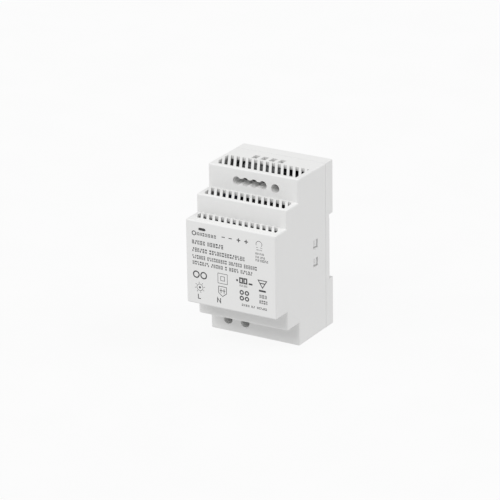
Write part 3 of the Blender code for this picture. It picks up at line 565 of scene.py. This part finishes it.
# Corners in X and Z, line width, and whether the line is closed
STROKES = (
    (((-19.45, -16.9), (-19.45, -19.3), (-17.95, -19.3)), 0.46, False),  # L for line
    (((-8.1, -19.4), (-8.1, -16.9), (-6.3, -19.3), (-6.3, -16.8)), 0.5, False),  # N for neutral
    (((-7.35, -10.4), (-2.75, -10.4), (-2.75, -13.9), (-5.05, -15.7), (-7.35, -13.9)), 0.32, True),  # shield
    (((15.85, -2.75), (20.75, -2.75), (18.3, -6.7)), 0.46, True),  # triangle
)
# The dial arc over the trimmer's column: middle X and Z, radius, line width, and its ends in degrees
DIAL = (16.6, 16.35, 1.7, 0.24)
DIAL_START, DIAL_END = -30, 205
# The sun-like sign inside the fourth ring: its middle, its disc, and its rays from one radius to another
SIGN_X, SIGN_Z = -18.4, -13.2
SIGN_DISC = 0.6
SIGN_RAYS = 8
RAY_FROM, RAY_TO, RAY_WIDTH = 2.2, 3.0, 0.24
FIRST_RAY = 10  # degrees


def front_print():
    """Generic marks as heavy as the printed front: poles, line and neutral, filler and plain symbols."""
    dice = random.Random(FILLER_SEED)
    ink = Print()
    for line in FILLER_LINES:
        filler_line(ink, *line, dice)
    for bar in BARS:
        ink.bar(*bar)
    for ring in RINGS:
        ink.ring(*ring)
    for rectangle in RECTANGLES:
        ink.rectangle(*rectangle)
    for corners, width, closed in STROKES:
        ink.stroke(corners, width, closed)
    ink.ring(*DIAL, start=DIAL_START, end=DIAL_END)
    ink.disc(SIGN_X, SIGN_Z, SIGN_DISC)
    for i in range(SIGN_RAYS):
        turn = math.radians(FIRST_RAY + 360 / SIGN_RAYS * i)
        ends = [(SIGN_X + r * math.cos(turn), SIGN_Z + r * math.sin(turn)) for r in (RAY_FROM, RAY_TO)]
        ink.stroke(ends, RAY_WIDTH)
    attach(add_piece("front_print", ink.bm, MATERIALS["ink"]), "housing")


front_print()


# ---------------------------------------------------------------- lip inside the seam

LIP_INSET = 0.22  # how far the lip lies under the outer faces
LIP_THICK = 1.3
LIP_REACH = 0.7  # each way from the seam
LIP_EDGE = 0.1


def seam_lip():
    """The base's locating lip: it closes the seam from inside, so the joint reads as a shallow groove."""
    low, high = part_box("front_housing")
    seam = high.y / MM
    rings = []
    for y in (seam - LIP_REACH, seam + LIP_REACH):
        for inset in (LIP_INSET, LIP_INSET + LIP_THICK):
            x0, x1 = low.x / MM + inset, high.x / MM - inset
            z0, z1 = low.z / MM + inset, high.z / MM - inset
            rings.append([(x0, y, z0), (x1, y, z0), (x1, y, z1), (x0, y, z1)])
    bm = bmesh.new()
    front_outer, front_inner, back_outer, back_inner = (
        [bm.verts.new(Vector(corner) * MM) for corner in ring] for ring in rings)
    for a, b in ((front_outer, front_inner), (front_inner, back_inner), (back_inner, back_outer),
                 (back_outer, front_outer)):
        for i in range(4):
            j = (i + 1) % 4
            bm.faces.new((a[i], a[j], b[j], b[i]))
    bmesh.ops.recalc_face_normals(bm, faces=bm.faces)
    lip = add_piece("seam_lip", bm, MATERIALS["base_plastic"])
    soften(lip, LIP_EDGE)
    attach(lip, "housing")


seam_lip()


# ---------------------------------------------------------------- latch spring

COIL_WIRE = 0.2  # radius of the wire
COIL_TURNS = 9
COIL_CLOSED = 1  # closed turns at each end
COIL_STEPS = 24  # in a turn
WIRE_SIDES = 10


def coil(name, centre_x, centre_y, low, high, radius):
    """A compression spring along Z from low to high, with its end turns closed."""
    closed_rise = 2 * COIL_WIRE
    open_turns = COIL_TURNS - 2 * COIL_CLOSED
    open_rise = (high - low - closed_rise - 2 * COIL_CLOSED * closed_rise) / open_turns
    bm = bmesh.new()
    rings = []
    for i in range(COIL_TURNS * COIL_STEPS + 1):
        turn = i / COIL_STEPS
        opened = max(0.0, min(turn - COIL_CLOSED, open_turns))
        z = low + COIL_WIRE + opened * open_rise + (turn - opened) * closed_rise
        out = Vector((math.cos(2 * math.pi * turn), math.sin(2 * math.pi * turn), 0))
        middle = Vector((centre_x, centre_y, z)) + out * radius
        ring = []
        for k in range(WIRE_SIDES):
            side = 2 * math.pi * k / WIRE_SIDES
            offset = out * math.cos(side) + Vector((0, 0, math.sin(side)))
            ring.append(bm.verts.new((middle + offset * COIL_WIRE) * MM))
        rings.append(ring)
    for a, b in zip(rings, rings[1:]):
        for k in range(WIRE_SIDES):
            n = (k + 1) % WIRE_SIDES
            bm.faces.new((a[k], b[k], b[n], a[n]))
    bm.faces.new(rings[0])
    bm.faces.new(rings[-1][::-1])
    bmesh.ops.recalc_face_normals(bm, faces=bm.faces)
    spring = add_piece(name, bm, MATERIALS["spring_steel"])
    spring.data.shade_smooth()
    return spring


def latch_coil():
    """The wound spring that stands for the CAD's plain one."""
    low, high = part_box("latch_spring")
    middle = (low + high) / 2 / MM
    reach = (high.x - low.x) / 2 / MM
    spring = coil("latch_coil", middle.x, middle.y, low.z / MM, high.z / MM, reach - COIL_WIRE)
    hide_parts("latch_spring")
    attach(spring, "housing")
    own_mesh(spring)


latch_coil()


# ---------------------------------------------------------------- stage, light and camera

WHITE = (1, 1, 1, 1)

FLOOR_HALF = 6000
FLOOR_GAP = 0.05  # below the object
FLOOR_CLOUD = 40  # size of the paper's faint clouds
FLOOR_TONE = (0.98, 0.98, 0.98, 1)
FLOOR_SHADE = (0.07, 0.07, 0.07, 1)  # the part that takes the contact shadow
FLOOR_GLOW = 0.909  # the part that stays white to the camera
FLOOR_BOUNCE = 0.735  # what the floor throws back on the object

SKY_SEEN = 0.985
SKY_CAST = 0.45

# Name, direction the light comes from, strength
SUNS = (
    ("front_light", (0.0, -1.0, 1.2), 0.97),
    ("left_light", (-0.9, -0.8, 1.2), 0.61),
    ("right_light", (1.0, 0.5, 1.0), 0.90),
)
SUN_SPREAD = math.radians(34)

CAMERA_TURN = (30.845, 21.07, -0.845)  # azimuth from the front, elevation and roll in degrees
CAMERA_AWAY = 1525.9
CAMERA_AIM = Vector((0, -25.5, MID_Z))
CAMERA_ACROSS, CAMERA_UP = 5.056, -0.543  # how far the aim lies right of and above the view's middle
LENS, SENSOR = 216.0, 36.0
CLIP_NEAR, CLIP_FAR = 0.1, 30.0  # metres


def floor():
    """A pale floor that is white to the camera, keeps a faint contact shadow and is open from below."""
    s = Shader("floor_paper")
    tone = s.mix(s.noise(FLOOR_CLOUD), FLOOR_TONE, WHITE)
    bounce = s.add("ShaderNodeEmission", Color=tone, Strength=FLOOR_BOUNCE).outputs[0]
    glow = s.add("ShaderNodeEmission", Color=tone, Strength=FLOOR_GLOW).outputs[0]
    seen = s.add("ShaderNodeAddShader")
    s.feed(seen, 0, s.add("ShaderNodeBsdfDiffuse", Color=FLOOR_SHADE).outputs[0])
    s.feed(seen, 1, glow)
    by_ray = s.either(s.add("ShaderNodeLightPath").outputs["Is Camera Ray"], bounce, seen.outputs[0])
    clear = s.add("ShaderNodeBsdfTransparent").outputs[0]
    s.feed(s.out, "Surface", s.either(s.add("ShaderNodeNewGeometry").outputs["Backfacing"], by_ray, clear))
    s.material.cycles.emission_sampling = "NONE"  # as a sampled light it would show its diagonal underneath

    bm = bmesh.new()
    half = FLOOR_HALF * MM
    z = CAD_BOX[0].z - FLOOR_GAP * MM
    bm.faces.new([bm.verts.new((x * half, y * half, z)) for x, y in ((-1, -1), (1, -1), (1, 1), (-1, 1))])
    add_piece("floor", bm, s.material)


def studio_sky():
    """An even white surround: one tone to the camera, another as the fill light."""
    world = bpy.data.worlds.new("studio")
    bpy.context.scene.world = world
    world.use_nodes = True
    tree = world.node_tree
    tree.nodes.clear()
    out = tree.nodes.new("ShaderNodeOutputWorld")
    mix = tree.nodes.new("ShaderNodeMixShader")
    path = tree.nodes.new("ShaderNodeLightPath")
    tree.links.new(path.outputs["Is Camera Ray"], mix.inputs[0])
    for index, strength in ((1, SKY_CAST), (2, SKY_SEEN)):
        glow = tree.nodes.new("ShaderNodeBackground")
        glow.inputs["Color"].default_value = WHITE
        glow.inputs["Strength"].default_value = strength
        tree.links.new(glow.outputs[0], mix.inputs[index])
    tree.links.new(mix.outputs[0], out.inputs[0])


def soft_suns():
    """Far, wide studio lights, each shining from its own side."""
    for name, toward, strength in SUNS:
        light = bpy.data.lights.new(name, "SUN")
        light.energy = strength
        light.angle = SUN_SPREAD
        add_object(name, light).rotation_euler = Vector(toward).to_track_quat("Z", "Y").to_euler()


def photo_camera():
    """A long lens at the photograph's viewpoint."""
    azimuth, elevation, roll = (math.radians(angle) for angle in CAMERA_TURN)
    toward = Vector((-math.sin(azimuth) * math.cos(elevation), math.cos(azimuth) * math.cos(elevation),
                     -math.sin(elevation)))
    level = Vector((math.cos(azimuth), math.sin(azimuth), 0))
    rise = level.cross(toward)
    right = math.cos(roll) * level + math.sin(roll) * rise
    top = -math.sin(roll) * level + math.cos(roll) * rise
    place = CAMERA_AIM - CAMERA_ACROSS * right - CAMERA_UP * top - CAMERA_AWAY * toward
    data = bpy.data.cameras.new("camera")
    data.lens = LENS
    data.sensor_width = SENSOR
    data.clip_start, data.clip_end = CLIP_NEAR, CLIP_FAR
    camera = add_object("camera", data)
    turn = Matrix((right, top, -toward)).transposed().to_4x4()
    camera.matrix_world = Matrix.Translation(place * MM) @ turn
    bpy.context.scene.camera = camera


floor()
studio_sky()
soft_suns()
photo_camera()
bpy.context.scene.view_settings.view_transform = "Standard"
